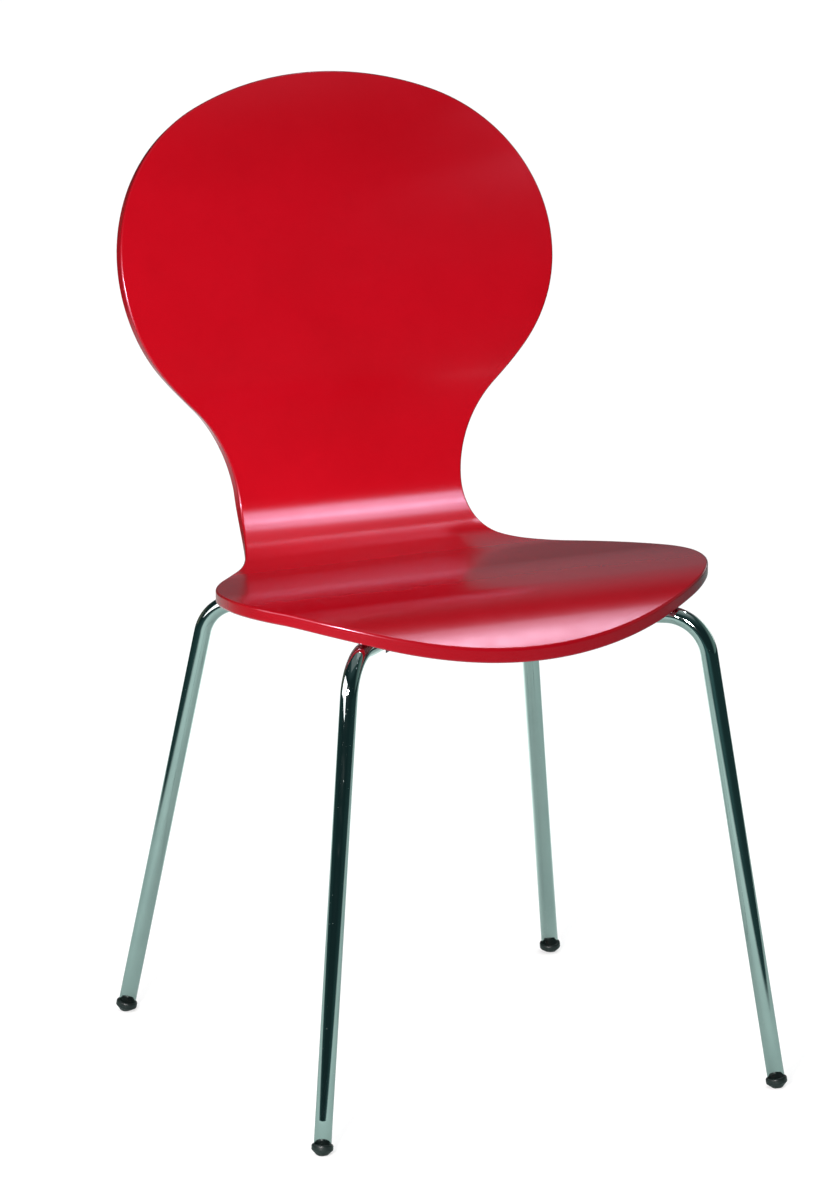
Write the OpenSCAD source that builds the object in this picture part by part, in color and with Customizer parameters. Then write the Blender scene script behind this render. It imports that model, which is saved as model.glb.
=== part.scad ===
// Stacking chair: one moulded plywood shell on four bent steel tube legs.
// Units are millimetres. +Z is up, the front of the seat faces -Y,
// and the origin is on the floor under the middle of the chair.

/* [Part] */
// Sub-part to build

/* [Shell] */
// Thickness of the moulded plywood
shell_t = 12; // [9:0.5:13]
// Radius on the top and bottom arris of the shell edge
edge_round = 2; // [1:0.5:4]
// Height of the top surface at the front lip
lip_z = 438.2; // [430:0.1:445]
// Distance from the cross of the legs forward to the front lip
lip_reach = 204.5; // [200:0.1:220]
// Lean of the top of the backrest from horizontal
top_lean = 57; // [50:1:70]

/* [Frame] */
// Outer diameter of the leg tubes
tube_d = 16; // [14:0.5:18]
// Wall thickness of the leg tubes
tube_wall = 1.5; // [1:0.1:2]
// Centre line radius of the bend in each leg
bend_r = 40; // [32:1:46]
// Height of the tube axes where the four legs meet
hub_z = 424.3; // [420:0.1:425]
// Tilt of the leg cross, front up
frame_tilt = 5.4; // [4:0.1:6]
// Half the distance between the front feet
front_foot_x = 229.6; // [220:0.1:240]
// Distance of the front feet in front of the leg cross
front_foot_y = 232; // [220:0.5:240]
// Half the distance between the rear feet
rear_foot_x = 223.8; // [215:0.1:235]
// Distance of the rear feet behind the leg cross
rear_foot_y = 233; // [225:0.5:245]
// Distance from the leg cross to the knee of a front leg, before bending
front_knee = 249.5; // [240:0.5:255]
// Distance from the leg cross to the knee of a rear leg, before bending
rear_knee = 235; // [228:0.5:242]

/* [Feet] */
// Diameter of the glide under each leg
glide_d = 19.8; // [18:0.2:24]
// Height of the glide below the tube end
glide_h = 10; // [8:0.5:14]
// Diameter of the flat that rests on the floor
glide_flat_d = 10.5; // [8:0.5:12]

/* [Seat fixing] */
// Diameter of the welded mounting plate
plate_d = 140; // [120:2:150]
// Thickness of the mounting plate
plate_t = 4; // [3:0.5:5]
// Diameter of the circle through the four screws
screw_circle = 88; // [84:2:100]
// Nominal diameter of the screws
screw_d = 6; // [5:1:6]
// Length of the screws under the head
screw_len = 24; // [22:1:26]

/* [Hidden] */
$fn = 64;
// The middle of the chair's box is this far behind the cross of the legs.
hub_y = -36.8;
// Side profile of the shell from the front lip to the top edge:
// length of each stretch, and the surface angle at each end of it.
prof_len = [33.2, 70, 105, 105, 55, 75, 45, 50, 105, 210];
prof_ang = [31.6, 27, -0.5, -8.5, -8, 6.5, 77.5, 83, 94, 74.5, top_lean];
// Flat outline of half the shell from the front centre: radius and turn of
// each arc, a negative one curving inwards at the waist. The last arc closes.
outline = [[296.5, 37], [132, 59.5], [278.5, 38], [-130.5, -90.5], [401, 6], [161, 58.5], [169.5, 47]];
// Longest step between points along the outline
outline_step = 11;
gap = 0.05;
// A bend is this much thicker than the straight tube, which laps into it.
bend_swell = 0.15;
bend_lap = 1.5;

function sum_to(v, n, i = 0) = i >= n ? 0 : v[i] + sum_to(v, n, i + 1);

// End of a stretch that starts at p with angle a0 and ends with angle a1.
function arc_end(p, a0, a1, l) = abs(a1 - a0) < 0.001
    ? p + l * [cos(a0), sin(a0)]
    : p + l / ((a1 - a0) * PI / 180) * [sin(a1) - sin(a0), cos(a0) - cos(a1)];
function prof_knot(i) = i == 0 ? [hub_y - lip_reach, lip_z]
    : arc_end(prof_knot(i - 1), prof_ang[i - 1], prof_ang[i], prof_len[i - 1]);
prof_knots = [for (i = [0:len(prof_len)]) prof_knot(i)];
prof_starts = [for (i = [0:len(prof_len)]) sum_to(prof_len, i)];
function prof_seg(s, i = 0) = i >= len(prof_len) - 1 || s <= prof_starts[i + 1] ? i : prof_seg(s, i + 1);
// Position and angle of the top surface at the distance s from the lip.
function prof_at(s) = let (i = prof_seg(s), t = s - prof_starts[i],
        a = prof_ang[i] + (prof_ang[i + 1] - prof_ang[i]) * t / prof_len[i],
        p = arc_end(prof_knots[i], prof_ang[i], a, t)) [p[0], p[1], a];
// Point at the depth d under the top surface.
function under_at(s, d) = let (q = prof_at(s)) [q[0] + d * sin(q[2]), q[1] - d * cos(q[2])];

// Start of each arc of the outline: across, along, heading.
function out_state(i) = i == 0 ? [0, 0, 0] : let (q = out_state(i - 1), R = outline[i - 1][0],
        h = q[2] + outline[i - 1][1])
    [q[0] + R * (sin(h) - sin(q[2])), q[1] + R * (cos(q[2]) - cos(h)), h];
out_end = out_state(len(outline));
arcs = concat(outline, [[out_end[0] / sin(180 - out_end[2]), 180 - out_end[2]]]);
function arc_steps(i) = ceil(abs(arcs[i][0] * arcs[i][1]) * PI / 180 / outline_step);
// Half outline as points: across, along, heading.
half = concat([for (i = [0:len(arcs) - 1]) let (q = out_state_all(i), n = arc_steps(i), R = arcs[i][0])
        for (k = [0:n - 1]) let (h = q[2] + arcs[i][1] * k / n)
        [q[0] + R * (sin(h) - sin(q[2])), q[1] + R * (cos(q[2]) - cos(h)), h]],
    [[0, out_end[1] + arcs[len(outline)][0] * (cos(out_end[2]) + 1), 180]]);
function out_state_all(i) = i < len(outline) ? out_state(i) : out_end;
half_n = len(half) - 1;
ring_n = 2 * half_n;

// Rings through the thickness: inset from the outline, depth under the top.
rings = concat(
    [for (f = [0, 45, 90]) [edge_round * (1 - sin(f)), edge_round * (1 - cos(f))]],
    [for (f = [90, 45, 0]) [edge_round * (1 - sin(f)), shell_t - edge_round * (1 - cos(f))]]);
function ring_point(r, j) = let (m = j > half_n, q = half[m ? ring_n - j : j],
        w = max(0, q[0] - r[0] * sin(q[2])), s = q[1] + r[0] * cos(q[2]),
        p = under_at(s - r[1] * tan(min(80, prof_at(s)[2])) * upright(s), r[1]))
    [m ? -w : w, p[0], p[1]];
// The rim is cut upright round the seat (1) and square to the surface on the back (0).
function upright(s) = max(0, min(1, (450 - s) / 75));

// Frame coordinates: u across, v back and w up, square to the tilted cross.
module in_frame() translate([0, hub_y, hub_z]) rotate([-frame_tilt, 0, 0]) children();
function to_frame(p) = let (y = p[0] - hub_y, z = p[1] - hub_z)
    [y * cos(frame_tilt) - z * sin(frame_tilt), y * sin(frame_tilt) + z * cos(frame_tilt)];
under_table = [for (s = [20:6:400]) to_frame(under_at(s, shell_t))];
function under_w(v) = lookup(v, under_table);

tube_r = tube_d / 2;
plate_w = tube_r + gap;
ring_r = 22;
ring_wall = 4;
washer_t = 1.6;
insert_d = 10;
insert_len = 7;
screw_at = [for (a = [0:90:270]) screw_circle / 2 * [cos(a), sin(a)]];

// Turns the plan direction of a foot into an angle around the leg cross.
function foot_dir(x, y) = atan2(y, x);
front_reach = norm([front_foot_x, front_foot_y]);
rear_reach = norm([rear_foot_x, rear_foot_y]);
front_knee_z = hub_z + tan(frame_tilt) * front_knee * front_foot_y / front_reach;
rear_knee_z = hub_z - tan(frame_tilt) * rear_knee * rear_foot_y / rear_reach;

// Everything that belongs to a leg is drawn in its upright plane, with X
// outwards from the cross and Y up, and then stood up and turned.
module leg_plane(dir) translate([0, hub_y, 0]) rotate([0, 0, dir]) rotate([90, 0, 0]) children();

// One leg as a solid rod of radius r, from the cross to just above the floor.
// The bend is a hair fatter, as a bent tube is, and the straight runs end in it.
module leg_rod(r, knee, knee_z, reach, from, foot_gap) {
    rise = atan2(knee_z - hub_z, knee);
    lean = atan2(reach - knee, knee_z);
    turn = 90 - lean + rise;
    tan_len = bend_r * tan(turn / 2);
    arm = norm([knee, knee_z - hub_z]) - tan_len;
    shin = norm([reach - knee, knee_z]) - tan_len;
    translate([0, hub_z, 0]) rotate([0, 0, rise]) {
        translate([from, 0, 0]) rotate([0, 90, 0]) cylinder(h = arm - from + bend_lap, r = r);
        translate([arm, -bend_r, 0]) rotate([0, 0, 90 - turn]) {
            rotate_extrude(angle = turn) translate([bend_r, 0]) circle(r + bend_swell);
            translate([bend_r, bend_lap, 0]) rotate([90, 0, 0]) cylinder(h = shin - foot_gap + bend_lap, r = r);
        }
    }
}

module leg(dir, knee, knee_z, reach) color("silver") difference() {
    leg_plane(dir) difference() {
        leg_rod(tube_r, knee, knee_z, reach, 12, glide_h);
        leg_rod(tube_r - tube_wall, knee, knee_z, reach, 10, glide_h - 1);
    }
    in_frame() translate([0, 0, -20]) cylinder(h = 40, r = ring_r);
}

// Plastic glide: a stem with three ribs inside the tube, a collar under its
// end and a chamfer down to a flat that is cut level with the floor.
module glide(dir, knee, knee_z, reach) color([0.06, 0.06, 0.06]) intersection() {
    leg_plane(dir) translate([reach, 0, 0]) rotate([0, 0, atan2(reach - knee, knee_z)])
        rotate([-90, 0, 0]) rotate_extrude() glide_section();
    translate([-400, -400, 0]) cube([800, 800, 100]);
}
module glide_section() {
    rim = 1.8;
    r = glide_d / 2;
    bore = tube_r - tube_wall;
    polygon([[0, -3], [glide_flat_d / 2 - 2.6, -3], [glide_flat_d / 2, 0.2], [r, 4.8], [r, glide_h - rim],
        [r - rim, glide_h], [0, glide_h]]);
    translate([r - rim, glide_h - rim]) circle(rim);
    translate([0, glide_h - 1]) square([bore - 0.35, 23]);
    translate([0, glide_h + 22]) square([bore - 1.2, 1.6]);
    for (k = [0:2]) translate([0, glide_h + 4 + 6 * k]) square([bore - 0.05, 1.2]);
}

module seat_shell() color([0.75, 0.03, 0.08]) difference() {
    polyhedron(
        points = [for (r = rings) for (j = [0:ring_n - 1]) ring_point(r, j)],
        faces = concat(
            [for (i = [0:half_n - 1]) let (a = i, b = i + 1, c = ring_n - i - 1, d = (ring_n - i) % ring_n)
                i == 0 ? [a, c, b] : i == half_n - 1 ? [a, d, b] : [a, d, c, b]],
            [for (i = [0:half_n - 1]) let (o = ring_n * (len(rings) - 1), a = o + i, b = o + i + 1,
                    c = o + ring_n - i - 1, d = o + (ring_n - i) % ring_n)
                i == 0 ? [a, b, c] : i == half_n - 1 ? [a, b, d] : [a, b, c, d]],
            [for (k = [0:len(rings) - 2]) for (j = [0:ring_n - 1]) for (h = [0, 1])
                let (a = k * ring_n + j, b = k * ring_n + (j + 1) % ring_n, c = b + ring_n, d = a + ring_n)
                h == 0 ? [a, b, c] : [a, c, d]]),
        convexity = 6);
    in_frame() for (p = screw_at) translate([p[0], p[1], under_w(p[1]) - 2])
        cylinder(h = insert_len + 3.9, d = insert_d);
}

module mounting_plate() color([0.55, 0.56, 0.58]) in_frame() translate([0, 0, plate_w]) difference() {
    union() {
        cylinder(h = plate_t - 0.8, d = plate_d);
        translate([0, 0, plate_t - 0.8]) cylinder(h = 0.8, d1 = plate_d, d2 = plate_d - 1.6);
    }
    translate([0, 0, -1]) cylinder(h = plate_t + 2, d = 12);
    for (p = screw_at) translate([p[0], p[1], -1]) cylinder(h = plate_t + 2, d = screw_d + 0.6);
}

module hub_ring() color([0.55, 0.56, 0.58]) in_frame() difference() {
    translate([0, 0, -11]) cylinder(h = 11 + plate_w, r = ring_r);
    translate([0, 0, -12]) cylinder(h = 30, r = ring_r - ring_wall);
}

// Rounded cover pushed into the open end of the ring from below.
module hub_cap() color([0.06, 0.06, 0.06]) in_frame() {
    difference() {
        union() {
            translate([0, 0, -11]) cylinder(h = 7, r = ring_r - ring_wall - gap);
            translate([0, 0, -12.6]) cylinder(h = 1.6, r = ring_r + 1);
            translate([0, 0, -14]) cylinder(h = 1.4, r1 = ring_r - 0.8, r2 = ring_r + 1);
        }
        translate([0, 0, -12]) cylinder(h = 20, r = ring_r - ring_wall - 2);
    }
}

// Beads where each tube meets the ring and, on both sides, the plate.
module weld_beads() color([0.45, 0.46, 0.48]) for (l = legs) {
    difference() {
        on_arm(l) translate([ring_r + 1.2, 0, 0]) rotate([0, 90, 0]) rotate_extrude() difference() {
            translate([tube_r + 0.4, 0]) circle(2);
            translate([0, -5]) square([tube_r, 10]);
        }
        in_frame() translate([0, 0, -20]) cylinder(h = 50, r = ring_r);
        in_frame() translate([0, 0, plate_w]) cylinder(h = 20, d = plate_d);
    }
    // Drawn with X up and Y sideways, then laid along the arm.
    on_arm(l) for (k = [0, 1]) translate([30, 0, 0]) rotate([90, 0, 90]) linear_extrude(height = 34) mirror([0, k])
        difference() {
            translate([6, 6.2]) circle(2.2);
            circle(tube_r);
            translate([plate_w, 0]) square([10, 20]);
        }
}
module on_arm(l) leg_plane(l[0]) translate([0, hub_z, 0]) rotate([0, 0, atan2(l[2] - hub_z, l[1])]) children();

// Everything under the shell, less a clearance, as a block to fit against.
module under_shell(c, from = 24, to = 396, drop = 40) rotate([90, 0, 90]) linear_extrude(height = 500, center = true)
    polygon(concat([for (s = [from:6:to]) under_at(s, shell_t + c)],
        [under_at(to, shell_t + drop), under_at(from, shell_t + drop)]));

// Moulded block between the flat plate and the curved underside.
module seat_spacer() color([0.08, 0.08, 0.08]) intersection() {
    in_frame() translate([0, 0, plate_w + plate_t]) difference() {
        union() {
            cylinder(h = 2, d1 = plate_d - 10, d2 = plate_d - 6);
            translate([0, 0, 2]) cylinder(h = 28, d = plate_d - 6);
        }
        translate([0, 0, -1]) cylinder(h = 40, d = 36);
        for (p = screw_at) translate([p[0], p[1], -1]) cylinder(h = 40, d = screw_d + 1);
        for (a = [45:90:315]) rotate([0, 0, a]) translate([45, 0, -1]) cylinder(h = 7, d = 24);
    }
    under_shell(0.15);
}

// Clip on a leg arm that carries the shell, with its top to the shell's curve.
module bumper(dir, knee, knee_z, reach, at) color([0.08, 0.08, 0.08]) intersection() {
    difference() {
        leg_plane(dir) translate([0, hub_z, 0]) rotate([0, 0, atan2(knee_z - hub_z, knee)])
            translate([at, 0, 0]) difference() {
                union() {
                    rotate([0, 90, 0]) cylinder(h = 24, d = tube_d + 6, center = true);
                    rotate([-90, 0, 0]) linear_extrude(height = 30) bumper_plan();
                }
                rotate([0, 90, 0]) cylinder(h = 60, d = tube_d + 2 * gap, center = true);
                translate([-30, -30, -6.4]) cube([60, 30, 12.8]);
            }
    }
    under_shell(0.15, drop = 60);
}
module bumper_plan() {
    square([18, tube_d + 6], center = true);
    square([24, tube_d], center = true);
    for (x = [-9, 9], y = [-tube_r, tube_r]) translate([x, y]) circle(3);
}

module seat_screws() color([0.6, 0.6, 0.62]) in_frame() for (p = screw_at)
    translate([p[0], p[1], plate_w - washer_t]) difference() {
        union() {
            cylinder(h = screw_len, d = screw_d - 0.1);
            translate([0, 0, -2]) cylinder(h = 2, d = 2 * screw_d);
            intersection() {
                translate([0, 0, 5]) sphere(9.2);
                translate([0, 0, -4.2]) cylinder(h = 2.2, d = 2 * screw_d);
            }
        }
        translate([0, 0, -5]) rotate([0, 0, 30]) cylinder(h = 3.4, d = 4 / cos(30), $fn = 6);
    }

module spring_washers() color([0.5, 0.5, 0.52]) in_frame() for (p = screw_at)
    translate([p[0], p[1], plate_w - washer_t]) difference() {
        cylinder(h = washer_t - gap, d = 2 * screw_d - 0.4);
        translate([0, 0, -1]) cylinder(h = washer_t + 2, d = screw_d + 0.2);
        rotate([0, 0, 20]) translate([0, -0.6, -1]) cube([20, 1.2, washer_t + 2]);
    }

module threaded_inserts() color([0.75, 0.6, 0.25]) in_frame() for (p = screw_at)
    translate([p[0], p[1], under_w(p[1]) + 0.6]) difference() {
        union() {
            cylinder(h = insert_len, d = insert_d - 1);
            for (k = [0:4]) translate([0, 0, 0.4 + 1.6 * k]) cylinder(h = 0.8, d = insert_d - 0.1);
        }
        translate([0, 0, -1]) cylinder(h = insert_len + 2, d = screw_d);
    }

// Direction, knee distance, knee height and foot distance of each leg.
legs = [
    [-180 + foot_dir(front_foot_x, front_foot_y), front_knee, front_knee_z, front_reach],
    [-foot_dir(front_foot_x, front_foot_y), front_knee, front_knee_z, front_reach],
    [180 - foot_dir(rear_foot_x, rear_foot_y), rear_knee, rear_knee_z, rear_reach],
    [foot_dir(rear_foot_x, rear_foot_y), rear_knee, rear_knee_z, rear_reach]];
bumper_at = [165, 165, 150, 150];

module leg_n(i) leg(legs[i][0], legs[i][1], legs[i][2], legs[i][3]);
module glide_n(i) glide(legs[i][0], legs[i][1], legs[i][2], legs[i][3]);
module bumper_n(i) bumper(legs[i][0], legs[i][1], legs[i][2], legs[i][3], bumper_at[i]);
module leg_front_left() leg_n(0);
module leg_front_right() leg_n(1);
module leg_rear_left() leg_n(2);
module leg_rear_right() leg_n(3);
module glide_front_left() glide_n(0);
module glide_front_right() glide_n(1);
module glide_rear_left() glide_n(2);
module glide_rear_right() glide_n(3);
module bumper_front_left() bumper_n(0);
module bumper_front_right() bumper_n(1);
module bumper_rear_left() bumper_n(2);
module bumper_rear_right() bumper_n(3);

seat_shell();
leg_front_left();
leg_front_right();
leg_rear_left();
leg_rear_right();
glide_front_left();
glide_front_right();
glide_rear_left();
glide_rear_right();
mounting_plate();
hub_ring();
weld_beads();
hub_cap();
seat_spacer();
bumper_front_left();
bumper_front_right();
bumper_rear_left();
bumper_rear_right();
seat_screws();
spring_washers();
threaded_inserts();
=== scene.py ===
import math

import bmesh
import bpy
from mathutils import Matrix, Vector


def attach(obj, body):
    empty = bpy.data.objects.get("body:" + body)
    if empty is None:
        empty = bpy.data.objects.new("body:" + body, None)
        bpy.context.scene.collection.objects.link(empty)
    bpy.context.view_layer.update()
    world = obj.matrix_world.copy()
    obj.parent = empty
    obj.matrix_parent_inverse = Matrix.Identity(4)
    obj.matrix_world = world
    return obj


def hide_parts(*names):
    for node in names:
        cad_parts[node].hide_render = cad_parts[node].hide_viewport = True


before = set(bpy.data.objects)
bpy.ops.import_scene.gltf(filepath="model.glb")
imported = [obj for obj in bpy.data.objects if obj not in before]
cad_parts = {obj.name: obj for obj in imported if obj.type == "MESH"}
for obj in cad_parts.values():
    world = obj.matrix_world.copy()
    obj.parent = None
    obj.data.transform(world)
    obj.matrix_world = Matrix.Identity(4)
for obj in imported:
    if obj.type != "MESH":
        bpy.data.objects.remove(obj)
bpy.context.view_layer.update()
scene = bpy.context.scene
MM = 0.001


# ---------------------------------------------------------------- camera
CAMERA_AZIMUTH = math.radians(-25.23)
CAMERA_ELEVATION = math.radians(14.68)
CAMERA_ROLL = math.radians(0.13)
CAMERA_DISTANCE = 7.0938
CAMERA_TARGET = Vector((0, -0.0368, 0.4408))
LENS, SENSOR_HEIGHT = 231.79, 36.0
# The picture's centre lies a little to the left of the target and below it.
CENTRE_LEFT, CENTRE_DOWN = 0.003545, 0.001157


def make_camera():
    az, el, roll = CAMERA_AZIMUTH, CAMERA_ELEVATION, CAMERA_ROLL
    back = Vector((math.sin(az) * math.cos(el), -math.cos(az) * math.cos(el), math.sin(el)))
    right = Vector((math.cos(az), math.sin(az), 0))
    up = back.cross(right)
    r2 = right * math.cos(roll) + up * math.sin(roll)
    u2 = up * math.cos(roll) - right * math.sin(roll)
    look = (-back - r2 * CENTRE_LEFT - u2 * CENTRE_DOWN).normalized()
    r2 = (r2 - look * r2.dot(look)).normalized()
    u2 = r2.cross(look)
    data = bpy.data.cameras.new("camera")
    data.sensor_fit = "VERTICAL"
    data.sensor_height = SENSOR_HEIGHT
    data.lens = LENS
    data.clip_end = 200.0
    cam = bpy.data.objects.new("camera", data)
    scene.collection.objects.link(cam)
    m = Matrix((r2, u2, -look)).transposed().to_4x4()
    m.translation = CAMERA_TARGET + back * CAMERA_DISTANCE
    cam.matrix_world = m
    scene.camera = cam


make_camera()
scene.view_settings.view_transform = "Standard"
scene.view_settings.look = "None"


# ---------------------------------------------------------------- node helpers
class Nodes:
    """Short names for building a node tree."""

    def __init__(self, tree):
        self.t = tree
        tree.nodes.clear()

    def new(self, kind, **values):
        n = self.t.nodes.new(kind)
        for k, v in values.items():
            if k in n.inputs:
                n.inputs[k].default_value = v
            else:
                setattr(n, k, v)
        return n

    def link(self, a, b):
        self.t.links.new(a, b)

    def feed(self, sock, v):
        if isinstance(v, bpy.types.NodeSocket):
            self.link(v, sock)
        else:
            sock.default_value = v

    def math(self, op, a, b=0.0):
        n = self.t.nodes.new("ShaderNodeMath")
        n.operation = op
        self.feed(n.inputs[0], a)
        self.feed(n.inputs[1], b)
        return n.outputs[0]

    def vmath(self, op, a, b=None):
        n = self.t.nodes.new("ShaderNodeVectorMath")
        n.operation = op
        self.feed(n.inputs[0], a)
        if b is not None:
            self.feed(n.inputs[1], b)
        return n.outputs["Value"] if op in ("DOT_PRODUCT", "LENGTH") else n.outputs[0]

    def span(self, v, a, b, c=0.0, d=1.0):
        """c where v is a, d where v is b, and a smooth step between."""
        n = self.t.nodes.new("ShaderNodeMapRange")
        n.interpolation_type = "SMOOTHSTEP"
        self.feed(n.inputs["Value"], v)
        for name, x in zip(("From Min", "From Max", "To Min", "To Max"), (a, b, c, d)):
            n.inputs[name].default_value = x
        return n.outputs["Result"]

    def mix(self, f, a, b, how="MIX"):
        n = self.t.nodes.new("ShaderNodeMix")
        n.data_type, n.blend_type = "RGBA", how
        self.feed(n.inputs["Factor"], f)
        self.feed(n.inputs[6], a)
        self.feed(n.inputs[7], b)
        return n.outputs[2]

    def coords(self, scale=(1, 1, 1)):
        c = self.t.nodes.new("ShaderNodeTexCoord")
        m = self.t.nodes.new("ShaderNodeMapping")
        m.inputs["Scale"].default_value = scale
        self.link(c.outputs["Object"], m.inputs["Vector"])
        return m.outputs["Vector"]

    def noise(self, scale, detail=2.0, rough=0.5, stretch=(1, 1, 1)):
        n = self.t.nodes.new("ShaderNodeTexNoise")
        n.inputs["Scale"].default_value = scale
        n.inputs["Detail"].default_value = detail
        n.inputs["Roughness"].default_value = rough
        self.link(self.coords(stretch), n.inputs["Vector"])
        return n.outputs["Fac"]

    def specks(self, scale, size, share):
        """1 in dots scattered over this share of the cells, 0 elsewhere."""
        v = self.t.nodes.new("ShaderNodeTexVoronoi")
        v.inputs["Scale"].default_value = scale
        self.link(self.coords(), v.inputs["Vector"])
        pick = self.t.nodes.new("ShaderNodeSeparateColor")
        self.link(v.outputs["Color"], pick.inputs[0])
        dot = self.span(v.outputs["Distance"], size, size * 0.4)
        return self.math("MULTIPLY", dot, self.math("LESS_THAN", pick.outputs[0], share))

    def bump(self, height, strength, distance):
        n = self.t.nodes.new("ShaderNodeBump")
        n.inputs["Strength"].default_value = strength
        n.inputs["Distance"].default_value = distance
        self.link(height, n.inputs["Height"])
        return n.outputs["Normal"]


def rgb(r, g, b):
    return (r, g, b, 1.0)


def material(name):
    """The material, its nodes and its Principled shader."""
    m = bpy.data.materials.new(name)
    m.use_nodes = True
    n = Nodes(m.node_tree)
    out = n.new("ShaderNodeOutputMaterial")
    bsdf = n.new("ShaderNodeBsdfPrincipled")
    n.link(bsdf.outputs[0], out.inputs["Surface"])
    return m, n, bsdf


def attribute(n, name):
    """A number that the mesh carries at its points."""
    a = n.new("ShaderNodeAttribute")
    a.attribute_name = name
    return a.outputs["Fac"]


# ---------------------------------------------------------------- materials
PLY_RIPPLE = 44.0     # seven waves through the thickness, in radians


def red_lacquer():
    """Sprayed red lacquer on moulded plywood: satin, with a fine orange peel, and painted shade on the
    rim.
    """
    m, n, b = material("red_lacquer")
    rim = attribute(n, "rim")
    cloud = n.noise(7, 3, 0.55)
    drift = n.noise(38, 4, 0.6)
    body = n.mix(n.span(cloud, 0.3, 0.7), rgb(0.455, 0.0010, 0.0065), rgb(0.490, 0.0013, 0.0082))
    body = n.mix(n.math("MULTIPLY", n.span(drift, 0.45, 0.75), 0.30), body, rgb(0.430, 0.0009, 0.0068))
    # Painted shade: the cut edges, and the faces just inside them, are coloured darker.
    body = n.mix(n.math("MULTIPLY", rim, 0.80), body, rgb(0.290, 0.0007, 0.0050))
    n.link(body, b.inputs["Base Color"])
    rough = n.math("ADD", n.span(n.noise(55, 4, 0.65), 0.25, 0.75, 0.198, 0.222),
                   n.math("MULTIPLY", n.noise(900, 2), 0.02))
    rubbed = n.noise(24, 5, 0.7, stretch=(1, 5, 5))
    rough = n.math("ADD", rough, n.math("MULTIPLY", n.span(rubbed, 0.55, 0.80), 0.035))
    n.link(rough, b.inputs["Roughness"])
    b.inputs["Specular Tint"].default_value = rgb(1.0, 0.75, 1.0)
    b.inputs["IOR"].default_value = 1.80
    peel = n.noise(230, 2, 0.5)
    grain = n.noise(60, 4, 0.6, stretch=(9, 1, 1))
    plies = n.math("MULTIPLY", rim, n.math("SINE", n.math("MULTIPLY", attribute(n, "depth"), PLY_RIPPLE)))
    height = n.math("ADD", peel, n.math("MULTIPLY", grain, 0.35))
    height = n.math("ADD", height, n.math("MULTIPLY", plies, 0.12))
    height = n.math("ADD", height, n.math("MULTIPLY", n.specks(150, 0.06, 0.02), 0.10))
    n.link(n.bump(height, 0.025, 0.0004), b.inputs["Normal"])
    return m


def chrome():
    """Polished chrome plate on steel tube, with faint polishing marks and dust."""
    m, n, b = material("chrome")
    haze = n.noise(22, 4, 0.6)
    col = n.mix(n.span(haze, 0.35, 0.75), rgb(0.58, 0.66, 0.64), rgb(0.53, 0.61, 0.595))
    pits = n.specks(520, 0.20, 0.07)
    col = n.mix(n.math("MULTIPLY", pits, 0.55), col, rgb(0.20, 0.23, 0.23))
    n.link(col, b.inputs["Base Color"])
    b.inputs["Metallic"].default_value = 1.0
    fine = n.noise(160, 3, 0.6, stretch=(1, 1, 0.12))
    rough = n.math("ADD", n.span(haze, 0.3, 0.8, 0.035, 0.075),
                   n.math("MULTIPLY", n.span(fine, 0.55, 0.8), 0.05))
    n.link(n.math("ADD", rough, n.math("MULTIPLY", pits, 0.35)), b.inputs["Roughness"])
    h = n.math("ADD", n.math("MULTIPLY", n.noise(90, 2), 0.5), n.math("MULTIPLY", fine, 0.2))
    n.link(n.bump(n.math("SUBTRACT", h, n.math("MULTIPLY", pits, 0.5)), 0.03, 0.0004), b.inputs["Normal"])
    return m


def plated(name, light, dark, rough, streak):
    """Zinc or brass: a soft, slightly blotchy plated or turned surface."""
    m, n, b = material(name)
    spangle = n.new("ShaderNodeTexVoronoi", Scale=190.0)
    n.link(n.coords(), spangle.inputs["Vector"])
    tone = n.new("ShaderNodeSeparateColor")
    n.link(spangle.outputs["Color"], tone.inputs[0])
    blot = n.math("ADD", n.math("MULTIPLY", tone.outputs[0], 0.45),
                  n.math("MULTIPLY", n.noise(45, 4, 0.6), 0.75))
    n.link(n.mix(n.span(blot, 0.25, 0.85), dark, light), b.inputs["Base Color"])
    b.inputs["Metallic"].default_value = 1.0
    marks = n.noise(330, 3, 0.6, stretch=streak)
    worn = n.math("ADD", n.math("MULTIPLY", blot, 0.5), n.math("MULTIPLY", marks, 0.5))
    n.link(n.span(worn, 0.25, 0.75, rough - 0.09, rough + 0.12), b.inputs["Roughness"])
    n.link(n.bump(marks, 0.12, 0.0002), b.inputs["Normal"])
    return m


def weld_metal():
    """Chromed weld bead with its row of ripples still showing."""
    m, n, b = material("weld_chrome")
    w = n.noise(420, 3, 0.6)
    body = n.mix(n.span(w, 0.35, 0.7), rgb(0.34, 0.39, 0.38), rgb(0.55, 0.62, 0.60))
    n.link(body, b.inputs["Base Color"])
    b.inputs["Metallic"].default_value = 1.0
    n.link(n.span(n.noise(260, 3), 0.3, 0.7, 0.14, 0.30), b.inputs["Roughness"])
    ripple = n.new("ShaderNodeTexWave", Scale=170.0, Distortion=3.5)
    n.link(n.coords(), ripple.inputs["Vector"])
    n.link(n.bump(n.math("ADD", ripple.outputs["Fac"], w), 0.45, 0.0004), b.inputs["Normal"])
    return m


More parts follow.
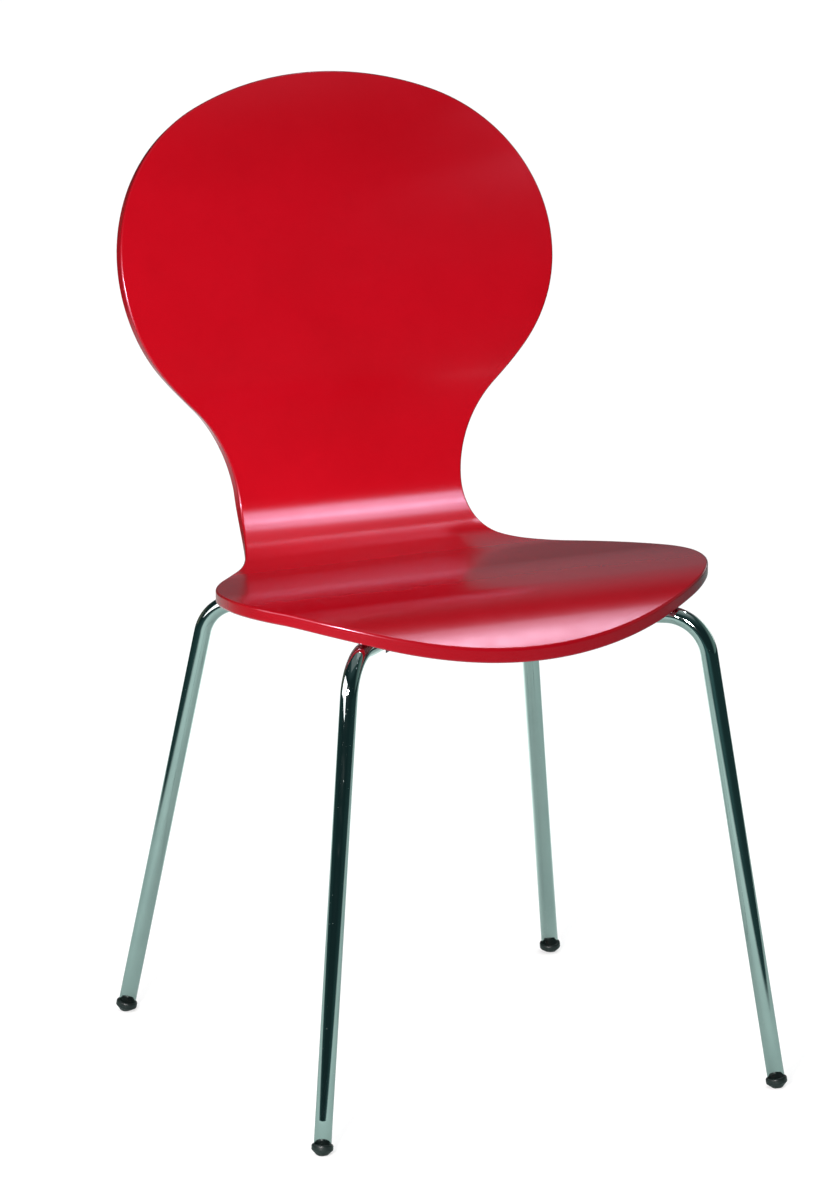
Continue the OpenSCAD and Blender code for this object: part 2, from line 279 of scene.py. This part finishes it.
def moulded(name, dark, light, rough, grain):
    """Black moulded plastic: spark-eroded grain, handling shine and pale scuffs."""
    m, n, b = material(name)
    blot = n.noise(70, 4, 0.6)
    body = n.mix(n.span(blot, 0.3, 0.7), dark, light)
    z = n.new("ShaderNodeSeparateXYZ")
    n.link(n.coords(), z.inputs[0])
    # Scuffing where a foot rubs on the floor.
    low = n.math("MULTIPLY", n.span(z.outputs[2], 0.005, 0.0), n.span(n.noise(600, 3), 0.42, 0.62))
    body = n.mix(n.math("MULTIPLY", low, 0.55), body, rgb(0.11, 0.115, 0.11))
    n.link(body, b.inputs["Base Color"])
    r = n.span(n.noise(120, 3, 0.6), 0.3, 0.7, rough - 0.06, rough + 0.08)
    n.link(n.math("ADD", r, n.math("MULTIPLY", low, 0.25)), b.inputs["Roughness"])
    h = n.math("ADD", n.noise(grain, 3, 0.6), n.math("MULTIPLY", low, 1.2))
    n.link(n.bump(h, 0.18, 0.00015), b.inputs["Normal"])
    return m


MATERIALS = {
    "lacquer": red_lacquer(),
    "chrome": chrome(),
    "weld": weld_metal(),
    "zinc": plated("zinc_plate", rgb(0.70, 0.72, 0.73), rgb(0.50, 0.52, 0.54), 0.34, (1, 1, 4)),
    "brass": plated("turned_brass", rgb(0.80, 0.62, 0.27), rgb(0.62, 0.45, 0.17), 0.30, (1, 1, 9)),
    "glide": moulded("glide_plastic", rgb(0.006, 0.010, 0.010), rgb(0.013, 0.020, 0.019), 0.34, 1500),
    "bumper": moulded("bumper_plastic", rgb(0.010, 0.011, 0.012), rgb(0.020, 0.021, 0.022), 0.46, 1100),
}


# ---------------------------------------------------------------- mesh helpers
def mesh_object(name, verts, faces, mat):
    me = bpy.data.meshes.new(name)
    me.from_pydata([tuple(v) for v in verts], [], faces)
    me.validate()
    me.update()
    me.polygons.foreach_set("use_smooth", [True] * len(me.polygons))
    me.materials.append(mat)
    o = bpy.data.objects.new(name, me)
    scene.collection.objects.link(o)
    return o


# ---------------------------------------------------------------- seat shell
# Millimetres and degrees, as in the CAD.
THICKNESS = 12.0
ARRIS = 2.0           # radius of the rim's edges
HUB_Y = -36.8         # the hub's upright axis
HUB_Z = 424.3         # height at which the arms' axes meet
LIP = (HUB_Y - 204.5, 438.2)
# Side profile from the lip to the top of the back: length, first and last slope.
PROFILE = ((33.2, 31.6, 27), (70, 27, -0.5), (105, -0.5, -8.5), (105, -8.5, -8), (55, -8, 6.5),
           (75, 6.5, 77.5), (45, 77.5, 83), (50, 83, 94), (105, 94, 74.5), (210, 74.5, 57))
# Half of the flat outline, from the middle of the lip: radius and turn.
OUTLINE = ((296.5, 37), (132, 59.5), (278.5, 38), (-130.5, -90.5), (401, 6), (161, 58.5), (169.5, 47))
OUTLINE_STEP = 4.5
# From CUT_SQUARE on, measured from the lip, the rim is cut square to the surface. Over
# the CUT_BLEND before that, the cut turns from upright to square.
CUT_SQUARE, CUT_BLEND = 450, 75
CUT_STEEPEST = math.radians(80)
RIM_SHADE_FADE = 8.0        # how far the rim's painted shade runs in over the faces


def arc_end(p, a0, a1, length):
    """End of an arc of this length whose slope turns from a0 to a1."""
    if abs(a1 - a0) < 1e-3:
        return p[0] + length * math.cos(math.radians(a0)), p[1] + length * math.sin(math.radians(a0))
    r = length / math.radians(a1 - a0)
    a0, a1 = math.radians(a0), math.radians(a1)
    return p[0] + r * (math.sin(a1) - math.sin(a0)), p[1] + r * (math.cos(a0) - math.cos(a1))


KNOTS = [(0.0, LIP)]
for length, a0, a1 in PROFILE:
    s, p = KNOTS[-1]
    KNOTS.append((s + length, arc_end(p, a0, a1, length)))


def profile(s):
    """Top surface of the shell at the distance s from the lip: y, z, angle."""
    i = 0
    while i < len(PROFILE) - 1 and s > KNOTS[i + 1][0]:
        i += 1
    length, a0, a1 = PROFILE[i]
    t = s - KNOTS[i][0]
    a = a0 + (a1 - a0) * t / length
    y, z = arc_end(KNOTS[i][1], a0, a, t)
    return y, z, math.radians(a)


def half_outline(step):
    """Points along the flat half outline: across, along, heading."""
    def go(w, s, h, r, turn):
        h0, h1 = math.radians(h), math.radians(h + turn)
        return w + r * (math.sin(h1) - math.sin(h0)), s + r * (math.cos(h0) - math.cos(h1)), h + turn
    at, arcs, start = (0.0, 0.0, 0.0), list(OUTLINE), []
    for r, turn in OUTLINE:
        start.append(at)
        at = go(*at, r, turn)
    start.append(at)
    arcs.append((at[0] / math.sin(math.radians(180 - at[2])), 180 - at[2]))
    points = []
    for (r, turn), st in zip(arcs, start):
        n = math.ceil(abs(r * math.radians(turn)) / step)
        points += [go(*st, r, turn * k / n) for k in range(n)]
    r, turn = arcs[-1]
    points.append((0.0, go(*start[-1], r, turn)[1], 180.0))
    return points


def surface(s, d):
    """Point at the depth d under the top surface. The cut through the thickness
    is upright round the seat and square to the surface on the back."""
    upright = max(0.0, min(1.0, (CUT_SQUARE - s) / CUT_BLEND))
    s -= d * math.tan(min(CUT_STEEPEST, profile(s)[2])) * upright
    y, z, a = profile(s)
    return y + d * math.sin(a), z - d * math.cos(a), a


def make_shell(columns=18, rounds=5):
    half = half_outline(OUTLINE_STEP)
    n = len(half) - 1
    loop = 2 * n
    verts, normals, rim, depth, faces = [], [], [], [], []

    def add(w, s, d, edge, f, side):
        """f is the turn of the normal: 0 out of the edge, 90 up, -90 down. side is 1 on the cut edge; it
        weights the rim's painted shade and its ply lines."""
        y, z, a = surface(s, d)
        verts.append(Vector((w, y, z)) * MM)
        c, u = math.cos(math.radians(f)), math.sin(math.radians(f))
        normals.append((edge * c + Vector((0, -math.sin(a), math.cos(a))) * u).normalized())
        rim.append(side)
        depth.append(d / THICKNESS)
        return len(verts) - 1

    def around(j, inset):
        """Point j of the whole outline, moved in by the inset."""
        m = j > n
        w, s, h = half[loop - j if m else j]
        w = max(0.0, w - inset * math.sin(math.radians(h)))
        return (-w if m else w), s + inset * math.cos(math.radians(h))

    def edge_normal(j):
        """Normal of the cut edge."""
        def at(k, d):
            w, s = around(k % loop, 0.0)
            return Vector((w, *surface(s, d)[:2]))
        along = at(j + 1, 0) - at(j - 1, 0)
        return along.cross(at(j, THICKNESS) - at(j, 0)).normalized() * -1

    edges = [edge_normal(j) for j in range(loop)]

    def ring(f, d):
        inset = ARRIS * (1 - math.cos(math.radians(f)))
        side = max(0.0, math.cos(math.radians(f))) ** 0.5
        return [add(*around(j, inset), d, edges[j], f, side) for j in range(loop)]

    steps = [90 * k / rounds for k in range(rounds, -1, -1)]
    rings = [ring(f, ARRIS * (1 - math.sin(math.radians(f)))) for f in steps]
    rings += [ring(-f, THICKNESS - ARRIS * (1 - math.sin(math.radians(f)))) for f in reversed(steps)]
    for a, b in zip(rings, rings[1:]):
        for j in range(loop):
            k = (j + 1) % loop
            faces.append((a[j], b[j], b[k], a[k]))

    def skin(edge, f, d, flip):
        """Closes the top or the underside inside its rim."""
        rows = [[edge[0]]]
        for i in range(1, n):
            left, right = edge[loop - i], edge[i]
            w, s = around(i, ARRIS)
            row = [left]
            for c in range(1, columns):
                x = w * (2 * c / columns - 1)
                near = max(0.0, 1 - (ARRIS + w - abs(x)) / RIM_SHADE_FADE)
                # Points near the rim take a weaker share of its painted shade.
                row.append(add(x, s, d, Vector(), f, 0.35 * near))
            rows.append(row + [right])
        rows.append([edge[n]])
        for lo, hi in zip(rows, rows[1:]):
            for c in range(max(len(lo), len(hi)) - 1):
                if len(lo) == 1:
                    q = (lo[0], hi[c + 1], hi[c])
                elif len(hi) == 1:
                    q = (lo[c], lo[c + 1], hi[0])
                else:
                    q = (lo[c], lo[c + 1], hi[c + 1], hi[c])
                faces.append(q[::-1] if flip else q)

    skin(rings[0], 90, 0.0, False)
    skin(rings[-1], -90, THICKNESS, True)
    o = mesh_object("shell_lacquered", verts, faces, MATERIALS["lacquer"])
    me = o.data
    for name, values in (("rim", rim), ("depth", depth)):
        at = me.attributes.new(name, "FLOAT", "POINT")
        at.data.foreach_set("value", values)
    me.normals_split_custom_set_from_vertices([tuple(v) for v in normals])
    return o


shell = make_shell()
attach(shell, "root")
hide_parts("seat_shell")


# ---------------------------------------------------------------- legs and glides
TUBE_R, BORE_R, BEND_R = 8.0, 6.5, 40.0
TILT = math.radians(5.4)      # the plane of the arms rises to the front
ARM_START = 20.4              # where an arm begins in the hub ring
GLIDE_H = 10.0                # height of the glide's collar on the tube's axis
OVERLAP = 0.1                 # how far the tube's end sits in the collar
ARM_STEPS, BEND_STEPS, SHIN_STEPS = 10, 28, 18
SIDES = 56
# Foot from the hub's axis, along X and Y, and the knee's distance from that axis.
LEGS = {
    "front_left": (-229.6, -232.0, 249.5),
    "front_right": (229.6, -232.0, 249.5),
    "rear_left": (-223.8, 233.0, 235.0),
    "rear_right": (223.8, 233.0, 235.0),
}


def leg_line(x, y, knee):
    """Axis of a leg in its upright plane, as (point, along) pairs, and the foot's frame."""
    reach = math.hypot(x, y)
    knee_z = HUB_Z - math.tan(TILT) * knee * y / reach
    rise = math.atan2(knee_z - HUB_Z, knee)
    lean = math.atan2(reach - knee, knee_z)
    turn = math.pi / 2 - lean + rise
    cut = BEND_R * math.tan(turn / 2)
    arm = math.hypot(knee, knee_z - HUB_Z) - cut
    shin = math.hypot(reach - knee, knee_z) - cut
    d0 = Vector((math.cos(rise), math.sin(rise)))
    n0 = Vector((-math.sin(rise), math.cos(rise)))
    start = Vector((0, HUB_Z))
    path = [(start + d0 * (ARM_START + (arm - ARM_START) * k / ARM_STEPS), d0)
            for k in range(ARM_STEPS + 1)]
    c = start + d0 * arm - n0 * BEND_R
    for k in range(1, BEND_STEPS + 1):
        a = turn * k / BEND_STEPS
        point = c + (n0 * math.cos(a) + d0 * math.sin(a)) * BEND_R
        path.append((point, d0 * math.cos(a) - n0 * math.sin(a)))
    p, d = path[-1]
    run = shin - GLIDE_H + OVERLAP
    path += [(p + d * run * k / SHIN_STEPS, d) for k in range(1, SHIN_STEPS + 1)]
    return path, (p + d * shin, d)


def plane_point(x, y, p):
    """Point p of a leg's upright plane in the shared frame, in metres."""
    r = math.hypot(x, y)
    return Vector((p[0] * x / r, HUB_Y + p[0] * y / r, p[1])) * MM


def make_leg(name, x, y, knee):
    path, _ = leg_line(x, y, knee)
    r = math.hypot(x, y)
    across = Vector((-y / r, x / r, 0))
    verts, faces = [], []
    rings = []
    for radius in (TUBE_R, BORE_R):
        for p, d in path:
            at = plane_point(x, y, p)
            along = Vector((d[0] * x / r, d[0] * y / r, d[1]))
            third = along.cross(across)
            ids = []
            for k in range(SIDES):
                a = 2 * math.pi * k / SIDES
                verts.append(at + (across * math.cos(a) + third * math.sin(a)) * radius * MM)
                ids.append(len(verts) - 1)
            rings.append(ids)
    m = len(path)
    for i in range(2 * m):
        if i == m - 1 or i == 2 * m - 1:
            continue
        a, b = rings[i], rings[i + 1]
        for k in range(SIDES):
            q = (a[k], a[(k + 1) % SIDES], b[(k + 1) % SIDES], b[k])
            faces.append(q if i < m else q[::-1])
    for a, b in ((rings[m], rings[0]), (rings[m - 1], rings[2 * m - 1])):
        for k in range(SIDES):
            faces.append((a[k], a[(k + 1) % SIDES], b[(k + 1) % SIDES], b[k]))
    o = mesh_object("tube_" + name, verts, faces, MATERIALS["chrome"])
    # The cut faces at the two ends come last, and are flat.
    count = len(o.data.polygons)
    o.data.polygons.foreach_set("use_smooth", [i < count - 2 * SIDES for i in range(count)])
    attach(o, "root")
    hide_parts("leg_" + name)


def fillet(corners, steps=5):
    """Rounds an open profile; each corner is a point's two coordinates and its radius."""
    out = [Vector(corners[0][:2])]
    for i in range(1, len(corners) - 1):
        a, p, b = (Vector(corners[k][:2]) for k in (i - 1, i, i + 1))
        rad = corners[i][2]
        if not rad:
            out.append(p)
            continue
        u, v = (a - p).normalized(), (b - p).normalized()
        half = u.angle(v) / 2
        cut = rad / math.tan(half)
        c = p + (u + v).normalized() * rad / math.sin(half)
        s, e = p + u * cut - c, p + v * cut - c
        for k in range(steps + 1):
            t = k / steps
            w = s * (1 - t) + e * t
            out.append(c + w.normalized() * rad)
    out.append(Vector(corners[-1][:2]))
    return out


GLIDE_R, SOLE_R = 9.9, 5.25
# From the sole to the end of the stem in the bore: distance from the axis, height
# above the tip, and radius of the rounding.
GLIDE = (
    (0, -2.0, 0),
    (SOLE_R - 1.6, -2.0, 0),
    (SOLE_R, 0.2, 0.5),
    (GLIDE_R, 4.8, 1.1),
    (GLIDE_R, GLIDE_H, 1.7),
    (BORE_R - 0.2, GLIDE_H, 0),
    (BORE_R - 0.35, GLIDE_H + 20, 0.8),
    (0, GLIDE_H + 22, 0),
)


def make_glide(name, x, y, knee):
    _, (tip, d) = leg_line(x, y, knee)
    prof = fillet(GLIDE)
    r = math.hypot(x, y)
    across = Vector((-y / r, x / r, 0))
    at = plane_point(x, y, tip)
    axis = -Vector((d[0] * x / r, d[0] * y / r, d[1]))
    third = axis.cross(across)
    verts, faces, rings = [], [], []
    for w, h in prof:
        if w < 1e-6:
            verts.append(at + axis * h * MM)
            rings.append([len(verts) - 1])
            continue
        ids = []
        for k in range(SIDES):
            a = 2 * math.pi * k / SIDES
            verts.append(at + (across * math.cos(a) + third * math.sin(a)) * w * MM + axis * h * MM)
            ids.append(len(verts) - 1)
        rings.append(ids)
    for a, b in zip(rings, rings[1:]):
        for k in range(SIDES):
            j = (k + 1) % SIDES
            if len(a) == 1:
                faces.append((a[0], b[j], b[k]))
            elif len(b) == 1:
                faces.append((a[k], a[j], b[0]))
            else:
                faces.append((a[k], a[j], b[j], b[k]))
    # The sole is cut level with the floor.
    for v in verts:
        v.z = max(v.z, 0.0)
    o = mesh_object("foot_" + name, verts, faces, MATERIALS["glide"])
    o.data.set_sharp_from_angle(angle=math.radians(32))
    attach(o, "root")
    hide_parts("glide_" + name)


for name, (x, y, knee) in LEGS.items():
    make_leg(name, x, y, knee)
    make_glide(name, x, y, knee)


# ---------------------------------------------------------------- pieces kept from the CAD
def keep(node, mat):
    """Gives a CAD node that stays its material."""
    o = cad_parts[node]
    o.data.materials.clear()
    o.data.materials.append(mat)


keep("mounting_plate", MATERIALS["chrome"])
keep("hub_ring", MATERIALS["chrome"])
keep("weld_beads", MATERIALS["weld"])
keep("hub_cap", MATERIALS["bumper"])
keep("seat_spacer", MATERIALS["bumper"])
keep("seat_screws", MATERIALS["zinc"])
keep("spring_washers", MATERIALS["zinc"])
keep("threaded_inserts", MATERIALS["brass"])
for corner in LEGS:
    keep("bumper_" + corner, MATERIALS["bumper"])


# ---------------------------------------------------------------- stage
STAGE = 40.0          # half the width of the floors and radius of the backdrop, in metres


def plane(name, z):
    v = [(-STAGE, -STAGE, z), (STAGE, -STAGE, z), (STAGE, STAGE, z), (-STAGE, STAGE, z)]
    me = bpy.data.meshes.new(name)
    me.from_pydata(v, [], [(0, 1, 2, 3)])
    me.update()
    o = bpy.data.objects.new(name, me)
    return o


def rays(o, camera, others):
    """Which rays see a piece of the stage: the camera's, or the diffuse and glossy ones."""
    o.visible_camera = camera
    o.visible_diffuse = others
    o.visible_glossy = others
    o.visible_transmission = False
    o.visible_shadow = False
    o.visible_volume_scatter = False


def stage_material(name, build):
    """Matt and glowing at once; build gives the two colours."""
    m = bpy.data.materials.new(name)
    m.use_nodes = True
    n = Nodes(m.node_tree)
    out = n.new("ShaderNodeOutputMaterial")
    add = n.new("ShaderNodeAddShader")
    dif = n.new("ShaderNodeBsdfDiffuse")
    emi = n.new("ShaderNodeEmission")
    n.link(dif.outputs[0], add.inputs[0])
    n.link(emi.outputs[0], add.inputs[1])
    n.link(add.outputs[0], out.inputs[0])
    build(n, dif, emi)
    return m


stage = bpy.data.collections.new("stage")
scene.collection.children.link(stage)
lit = bpy.data.collections.new("lit_by_sky")

# The floor that the camera sees.
seen = plane("floor", -0.0003)
stage.objects.link(seen)
lit.objects.link(seen)
rays(seen, camera=True, others=False)


def pale(n, dif, emi):
    tone = n.span(n.noise(1.7, 3), 0.3, 0.7)
    n.link(n.mix(tone, rgb(0.40, 0.40, 0.40), rgb(0.42, 0.42, 0.42)), dif.inputs["Color"])
    emi.inputs["Color"].default_value = rgb(1, 1, 1)
    emi.inputs["Strength"].default_value = 0.54


seen.data.materials.append(stage_material("floor_pale", pale))

# The floor that lights the chair from below and shows in its reflections.
bounce = plane("floor_bounce", -0.0006)
stage.objects.link(bounce)
lit.objects.link(bounce)
rays(bounce, camera=False, others=True)


def sweep(n, dif, emi):
    """Paper round the chair, a glowing patch of painted light on it behind, and painted shade beyond,
    where the paper turns almost black.
    """
    here = n.coords()
    far = n.vmath("LENGTH", n.vmath("SUBTRACT", here, (0.25, 0.35, 0.0)))
    paper = n.span(far, 1.35, 1.85, 1.0, 0.0)
    # Painted shade: from 1.35 to 1.85 m off the chair the floor's colour turns almost black.
    n.link(n.mix(paper, rgb(0.012, 0.031, 0.031), rgb(0.26, 0.34, 0.325)), dif.inputs["Color"])
    # Painted light: a glowing pool on the floor behind the chair.
    off = n.vmath("LENGTH", n.vmath("SUBTRACT", here, (0.35, 0.95, 0.0)))
    behind = n.span(off, 0.35, 0.85, 1.0, 0.0)
    n.link(n.mix(behind, rgb(0, 0, 0), rgb(0.8, 0.85, 0.83)), emi.inputs["Color"])


bounce.data.materials.append(stage_material("floor_sweep", sweep))

# Pale backdrop all round, for the camera only.
bm = bmesh.new()
bmesh.ops.create_icosphere(bm, subdivisions=5, radius=STAGE)
bmesh.ops.reverse_faces(bm, faces=bm.faces)
dome_mesh = bpy.data.meshes.new("backdrop")
bm.to_mesh(dome_mesh)
bm.free()
dome = bpy.data.objects.new("backdrop", dome_mesh)
stage.objects.link(dome)
rays(dome, camera=True, others=False)


def dome_paint(n, dif, emi):
    dif.inputs["Color"].default_value = rgb(0, 0, 0)
    z = n.new("ShaderNodeSeparateXYZ")
    n.link(n.coords(), z.inputs[0])
    height = n.span(z.outputs[2], 0.0, STAGE)
    n.link(n.mix(height, rgb(0.97, 0.97, 0.97), rgb(0.92, 0.93, 0.94)), emi.inputs["Color"])


dome.data.materials.append(stage_material("backdrop_pale", dome_paint))


# ---------------------------------------------------------------- light
def spread_share(spread):
    """Share of the power with which a gridded lamp looks as bright along its axis."""
    half = math.radians(spread) / 2
    return 1.0 if spread >= 180 else 1 - half / math.tan(half)


def area(name, at, target, width, height, radiance, colour=(1, 1, 1), spread=180.0):
    d = bpy.data.lights.new(name, "AREA")
    d.shape, d.size, d.size_y = "RECTANGLE", width, height
    d.energy = radiance * math.pi * width * height * spread_share(spread)
    d.color = colour
    d.spread = math.radians(spread)
    o = bpy.data.objects.new(name, d)
    stage.objects.link(o)
    aim = (Vector(target) - Vector(at)).to_track_quat("-Z", "Y")
    o.matrix_world = Matrix.Translation(at) @ aim.to_matrix().to_4x4()
    o.visible_camera = False


# A softbox of three panels over the seat, which shows as the bright band in the bend.
# It stands where the bend mirrors it into the camera, and has a narrow grid.
BEND = Vector((0.0, 0.165, 0.455))
MIRROR_X, MIRROR_YZ = 0.4124, 0.911       # the mirrored line of sight, along X and square to it
KEY_AWAY, KEY_WIDTH, KEY_HEIGHT, KEY_GRID = 1.1, 0.50, 0.21, 20.0
KEY_COLOUR = (0.86, 0.92, 1.0)
for k, (rise, radiance) in enumerate(((44, 9.0), (56, 15.0), (68, 7.0))):
    u = math.radians(rise)
    towards = Vector((MIRROR_X, -MIRROR_YZ * math.cos(u), MIRROR_YZ * math.sin(u)))
    area("key_top_%d" % k, BEND + towards * KEY_AWAY, BEND, KEY_WIDTH, KEY_HEIGHT, radiance,
         KEY_COLOUR, KEY_GRID)

# Two lamps to the left of the camera's line of sight, a panel at the left side of the
# seat, and a far window high on the right, behind the chair.
area("key_camera", (-2.00, -2.45, 1.35), (0.0, 0.0, 0.55), 0.42, 0.42, 238.0, (1.0, 0.96, 0.95))
area("lamp_left", (-2.60, -1.95, 1.10), (0.0, 0.0, 0.55), 0.30, 0.30, 45.0, (1.0, 0.98, 0.97))
area("side_left", (-0.80, -0.12, 0.62), (0.0, -0.05, 0.52), 0.78, 0.40, 2.6, (1.0, 0.96, 0.98))
area("window", (10.3, 5.05, 22.55), (0.0, -0.1, 0.45), 1.7, 1.4, 37.0, (1.0, 0.95, 1.0))

# Two dim ceiling panels.
for name, at, side, radiance in (("ceiling", (0.0, -0.15, 2.40), 1.9, 0.13),
                                 ("ceiling_right", (0.67, 0.0, 2.30), 1.0, 0.22)):
    area(name, at, (0.0, -0.05, 0.45), side, side, radiance)

# A wide, soft sun that lights the two floors only.
SKY_TILT = math.radians(8)
sky = bpy.data.lights.new("sky", "SUN")
sky.energy = 3.4
sky.angle = math.radians(110)
sky_o = bpy.data.objects.new("sky", sky)
stage.objects.link(sky_o)
sky_o.matrix_world = Matrix.Rotation(SKY_TILT, 4, "X")
sky_o.light_linking.receiver_collection = lit


def direction(az, el):
    """Unit vector; the azimuth runs from +Y towards +X."""
    a, e = math.radians(az), math.radians(el)
    return Vector((math.sin(a) * math.cos(e), math.cos(a) * math.cos(e), math.sin(e)))


# Glows in the room: azimuth, elevation, radius of the core and of the edge, colour.
GLOWS = (
    (92, 8, 6, 50, rgb(0.13, 0.20, 0.18)),
    (28, 20, 6, 29, rgb(0.26, 0.20, 0.22)),
    (56, 4, 7, 17, rgb(1.30, 1.45, 1.40)),
    (330, -4, 6, 28, rgb(0.10, 0.095, 0.06)),
    (180, 84, 5, 50, rgb(0.03, 0.05, 0.05)),
)


def studio_world():
    """A dim room: a pale wall on the right, a small bright patch to the right behind the
    chair, and faint glows."""
    w = bpy.data.worlds.new("studio")
    w.use_nodes = True
    scene.world = w
    n = Nodes(w.node_tree)
    out = n.new("ShaderNodeOutputWorld")
    bg = n.new("ShaderNodeBackground")
    n.link(bg.outputs[0], out.inputs[0])
    co = n.new("ShaderNodeTexCoord")
    total = rgb(0.010, 0.027, 0.028)
    for az, el, inner, outer, colour in GLOWS:
        c = n.vmath("DOT_PRODUCT", co.outputs["Generated"], tuple(direction(az, el)))
        f = n.span(c, math.cos(math.radians(outer)), math.cos(math.radians(inner)))
        total = n.mix(1.0, total, n.mix(f, rgb(0, 0, 0), colour), "ADD")
    n.link(total, bg.inputs["Color"])


studio_world()
